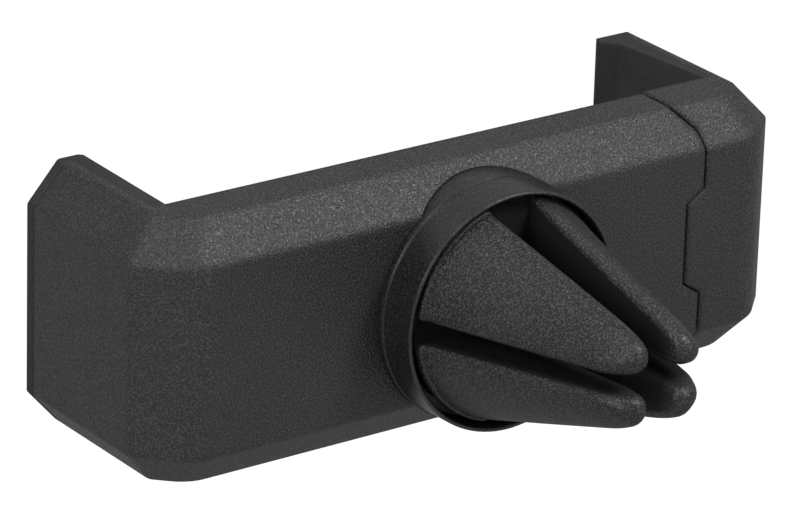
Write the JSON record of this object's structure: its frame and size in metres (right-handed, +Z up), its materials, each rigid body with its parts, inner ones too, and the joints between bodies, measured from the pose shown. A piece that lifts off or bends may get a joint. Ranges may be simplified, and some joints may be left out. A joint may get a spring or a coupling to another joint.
{
  "type": "phone holder",
  "caption": "Sprung two-jaw phone cradle in matt black plastic, on a ball-jointed clip with cross-slotted prongs that grips a car's air vent.",
  "frame": {"origin": "centre of the swivel ball, on the clip's axis and in the plane of the cradle's back face", "axes": "+X along the jaw's slide, towards the sliding jaw; +Y towards the phone; -Y towards the vent; +Z up"},
  "size_m": [0.0666, 0.0444, 0.024],
  "materials": {
    "shell": "matt black moulded plastic with a fine spark-eroded grain",
    "collar": "smooth satin black plastic",
    "clip": "tough black plastic, lightly grained",
    "grip": "smooth soft black rubber",
    "steel": "zinc-plated steel"
  },
  "bodies": {
    "clip": {"vent_clip": "clip", "ball_stud": "clip", "clip_screw": "steel"},
    "cradle": {"rear_housing": "shell", "front_cover": "shell", "cover_screws": "steel", "phone_rest": "grip", "fixed_arm_pad": "grip", "socket_collar": "collar", "socket_keeper": "shell", "socket_screws": "steel", "friction_pad": "grip", "upper_spring": "steel", "lower_spring": "steel"},
    "jaw": {"jaw_shell": "shell", "slide_carriage": "shell", "carriage_screws": "steel", "jaw_pad": "grip"}
  },
  "joints": [
    {"name": "clip_swivel", "type": "hinge", "parent": "clip", "child": "cradle", "pos_m": [0, 0, 0], "axis": [0.0174, -0.9991, 0.0384], "continuous": true},
    {"name": "jaw_slide", "type": "slide", "parent": "cradle", "child": "jaw", "axis": [1, 0, 0], "range_m": [0, 0.028], "stiffness_N_per_m": 150, "springref_m": -0.016, "deforming": ["upper_spring", "lower_spring"]}
  ]
}
